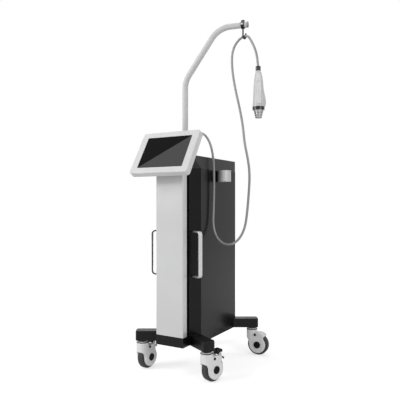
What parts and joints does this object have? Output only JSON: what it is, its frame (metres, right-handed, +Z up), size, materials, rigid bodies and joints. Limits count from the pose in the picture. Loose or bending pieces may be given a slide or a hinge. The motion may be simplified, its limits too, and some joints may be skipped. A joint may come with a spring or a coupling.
{
  "type": "radio frequency lifting device",
  "caption": "Trolley-mounted treatment device with a tilted screen, a tall cabinet on swivel casters, a bent arm and a hand-held applicator hung on a cable.",
  "frame": {"origin": "on the floor, under the middle of the object's own box, without its cable and plug", "axes": "+Z up, -Y towards the screen side, +X towards the side that the arm reaches over"},
  "size_m": [0.552, 0.6038, 1.496],
  "materials": {
    "black_plastic": "satin moulded",
    "black_panel": "satin powder coat",
    "column_silver": "satin silver-grey paint",
    "white_plastic": "semi-gloss moulded",
    "white_paint": "gloss paint",
    "screen_glass": "polished",
    "steel": "zinc plated",
    "handle_metal": "satin",
    "polished": "polished",
    "tip_metal": "satin",
    "tyre": "matt",
    "cable_rubber": "satin",
    "circuit": "solder mask",
    "alloy_case": "mill finish"
  },
  "bodies": {
    "trolley": {"base_cover": "black_plastic", "base_plate": "steel", "caster_stems": "steel", "chassis_floor": "steel", "side_panel_left": "black_panel", "side_panel_right": "black_panel", "rear_panel": "black_panel", "cabinet_front": "black_panel", "lid": "black_plastic", "column_panel": "column_silver", "handle_left": "handle_metal", "handle_right": "handle_metal", "handle_screws": "steel", "cover_screws": "steel", "holder_bracket": "black_plastic", "holder_cup": "polished", "head_bezel": "white_plastic", "head_rear_cover": "white_plastic", "touch_glass": "screen_glass", "lcd_panel": "black_plastic", "display_board": "circuit", "head_bracket": "black_plastic", "arm_tube": "white_paint", "arm_socket": "white_paint", "arm_end_cap": "black_plastic", "hook_clamp": "black_plastic", "cable_hook": "steel", "cable_socket": "black_plastic", "cable_plug": "black_plastic", "handpiece_cable": "cable_rubber", "mid_shelf": "steel", "rf_generator": "alloy_case", "power_supply": "alloy_case", "control_board": "circuit", "fan_frame": "black_plastic", "inlet_module": "black_plastic"},
    "caster_fl": {"caster_housing_fl": "white_plastic", "caster_axle_fl": "black_plastic"},
    "wheel_fl": {"caster_wheel_fl": "tyre"},
    "pedal_fl": {"brake_pedal_fl": "black_plastic"},
    "caster_fr": {"caster_housing_fr": "white_plastic", "caster_axle_fr": "black_plastic"},
    "wheel_fr": {"caster_wheel_fr": "tyre"},
    "pedal_fr": {"brake_pedal_fr": "black_plastic"},
    "caster_rl": {"caster_housing_rl": "white_plastic", "caster_axle_rl": "black_plastic"},
    "wheel_rl": {"caster_wheel_rl": "tyre"},
    "caster_rr": {"caster_housing_rr": "white_plastic", "caster_axle_rr": "black_plastic"},
    "wheel_rr": {"caster_wheel_rr": "tyre"},
    "fan": {"fan_rotor": "black_plastic"},
    "rocker": {"power_rocker": "black_plastic"},
    "handpiece": {"handpiece_collar": "black_plastic", "handpiece_shell_front": "white_plastic", "handpiece_shell_rear": "white_plastic", "handpiece_panel": "white_plastic", "handpiece_board": "circuit", "tip_ring": "black_plastic"},
    "button": {"handpiece_button": "white_plastic"},
    "tip": {"tip_cartridge": "tip_metal"}
  },
  "joints": [
    {"name": "swivel_fl", "type": "hinge", "parent": "trolley", "child": "caster_fl", "pos_m": [-0.24354, -0.18079, 0.125], "axis": [0, 0, 1], "continuous": true},
    {"name": "roll_fl", "type": "hinge", "parent": "caster_fl", "child": "wheel_fl", "pos_m": [-0.24131, -0.14887, 0.05], "axis": [-0.9976, 0.0698, 0], "continuous": true},
    {"name": "brake_fl", "type": "hinge", "parent": "caster_fl", "child": "pedal_fl", "pos_m": [-0.23936, -0.12094, 0.108], "axis": [-0.9976, 0.0698, 0], "range_deg": [0, 10]},
    {"name": "swivel_fr", "type": "hinge", "parent": "trolley", "child": "caster_fr", "pos_m": [0.07846, -0.18079, 0.125], "axis": [0, 0, 1], "continuous": true},
    {"name": "roll_fr", "type": "hinge", "parent": "caster_fr", "child": "wheel_fr", "pos_m": [0.08835, -0.15036, 0.05], "axis": [-0.9511, 0.309, 0], "continuous": true},
    {"name": "brake_fr", "type": "hinge", "parent": "caster_fr", "child": "pedal_fr", "pos_m": [0.097, -0.12373, 0.108], "axis": [-0.9511, 0.309, 0], "range_deg": [0, 10]},
    {"name": "swivel_rl", "type": "hinge", "parent": "trolley", "child": "caster_rl", "pos_m": [-0.24354, 0.26921, 0.125], "axis": [0, 0, 1], "continuous": true},
    {"name": "roll_rl", "type": "hinge", "parent": "caster_rl", "child": "wheel_rl", "pos_m": [-0.21583, 0.25321, 0.05], "axis": [0.5, 0.866, 0], "continuous": true},
    {"name": "swivel_rr", "type": "hinge", "parent": "trolley", "child": "caster_rr", "pos_m": [0.07846, 0.26921, 0.125], "axis": [0, 0, 1], "continuous": true},
    {"name": "roll_rr", "type": "hinge", "parent": "caster_rr", "child": "wheel_rr", "pos_m": [0.11028, 0.27255, 0.05], "axis": [-0.1045, 0.9945, 0], "continuous": true},
    {"name": "fan_spin", "type": "hinge", "parent": "trolley", "child": "fan", "pos_m": [-0.08254, 0.21621, 0.7], "axis": [0, 1, 0], "continuous": true},
    {"name": "power_switch", "type": "hinge", "parent": "trolley", "child": "rocker", "pos_m": [-0.08254, 0.21721, 0.227], "axis": [1, 0, 0], "range_deg": [0, 12]},
    {"name": "handpiece_swing", "type": "hinge", "parent": "trolley", "child": "handpiece", "pos_m": [0.24426, -0.04219, 1.286], "axis": [1, 0, 0], "range_deg": [-15, 15]},
    {"name": "button_press", "type": "slide", "parent": "handpiece", "child": "button", "axis": [-0.5, 0.866, 0], "range_m": [0, 0.0015], "stiffness_N_per_m": 400},
    {"name": "tip_pull", "type": "slide", "parent": "handpiece", "child": "tip", "axis": [0, 0, -1], "range_m": [0, 0.03]}
  ]
}
